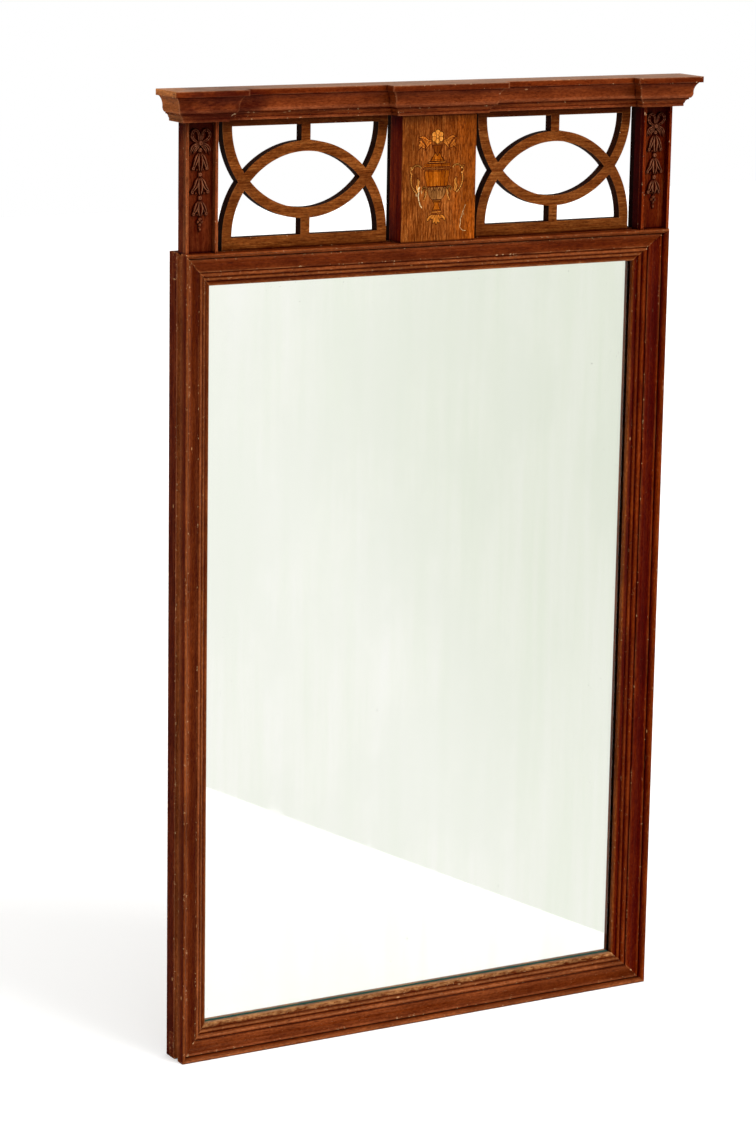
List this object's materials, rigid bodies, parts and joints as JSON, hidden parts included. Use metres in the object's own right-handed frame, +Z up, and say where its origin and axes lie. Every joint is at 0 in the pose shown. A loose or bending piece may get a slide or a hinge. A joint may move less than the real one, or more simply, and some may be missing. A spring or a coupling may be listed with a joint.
{
  "type": "hall mirror",
  "caption": "Tall wall mirror in a mitred moulded wooden frame, with a crest of carved pilasters, pierced frets and an inlaid tablet under a break-front cornice.",
  "frame": {"origin": "on the wall plane, in the middle of the back of the frame's top rail", "axes": "+X to the viewer's right, +Y into the wall, +Z up"},
  "size_m": [0.725, 0.0758, 1.171],
  "materials": {
    "mahogany_frame": "satin, worn french polish",
    "mahogany_cornice": "satin, worn and dusty",
    "mahogany_fret": "satin",
    "dark_back_frame": "satin, worn",
    "softwood": "bare",
    "backing": "bare",
    "mirror_plate": "polished",
    "silver": "polished",
    "tablet_core": "satin",
    "figured_veneer": "satin, upright grain",
    "inlay_orange": "satin",
    "inlay_pale": "satin",
    "inlay_brown": "satin",
    "steel_screws": "dull",
    "brass_hangers": "dull"
  },
  "bodies": {
    "mirror": {"face_moulding_top": "mahogany_frame", "face_moulding_right": "mahogany_frame", "face_moulding_bottom": "mahogany_frame", "face_moulding_left": "mahogany_frame", "pilaster_left_board": "mahogany_frame", "pilaster_right_board": "mahogany_frame", "pilaster_left_strips": "mahogany_frame", "pilaster_right_strips": "mahogany_frame", "carving_left": "mahogany_frame", "carving_right": "mahogany_frame", "cornice_core": "mahogany_cornice", "cornice_end_left": "mahogany_cornice", "cornice_break_left": "mahogany_cornice", "cornice_step_left": "mahogany_cornice", "cornice_recess_left": "mahogany_cornice", "cornice_centre_left": "mahogany_cornice", "cornice_centre": "mahogany_cornice", "cornice_centre_right": "mahogany_cornice", "cornice_recess_right": "mahogany_cornice", "cornice_step_right": "mahogany_cornice", "cornice_break_right": "mahogany_cornice", "cornice_end_right": "mahogany_cornice", "fret_left": "mahogany_fret", "fret_right": "mahogany_fret", "back_frame_left": "dark_back_frame", "back_frame_right": "dark_back_frame", "back_frame_top": "dark_back_frame", "back_frame_bottom": "dark_back_frame", "batten_left": "softwood", "batten_centre": "softwood", "batten_right": "softwood", "ground_left": "softwood", "ground_right": "softwood", "glass_blocks": "softwood", "crest_dowels": "softwood", "backing_board": "backing", "glass_plate": "mirror_plate", "silvering": "silver", "tablet_block": "tablet_core", "tablet_veneer": "figured_veneer", "inlay_urn": "inlay_orange", "inlay_palmette": "inlay_orange", "inlay_urn_bands": "inlay_pale", "inlay_flowers": "inlay_pale", "inlay_scrolls": "inlay_pale", "inlay_leaves": "inlay_brown", "back_frame_screws": "steel_screws", "backing_pins": "steel_screws", "hanger_screws": "steel_screws", "hanger_strap_left": "brass_hangers", "hanger_strap_right": "brass_hangers"},
    "ring_left": {"hanger_ring_left": "brass_hangers"},
    "ring_right": {"hanger_ring_right": "brass_hangers"}
  },
  "joints": [
    {"name": "left_ring_swing", "type": "hinge", "parent": "mirror", "child": "ring_left", "pos_m": [-0.321, 0.00265, -0.234], "axis": [1, 0, 0], "range_deg": [0, 180]},
    {"name": "right_ring_swing", "type": "hinge", "parent": "mirror", "child": "ring_right", "pos_m": [0.321, 0.00265, -0.234], "axis": [1, 0, 0], "range_deg": [0, 180]}
  ]
}
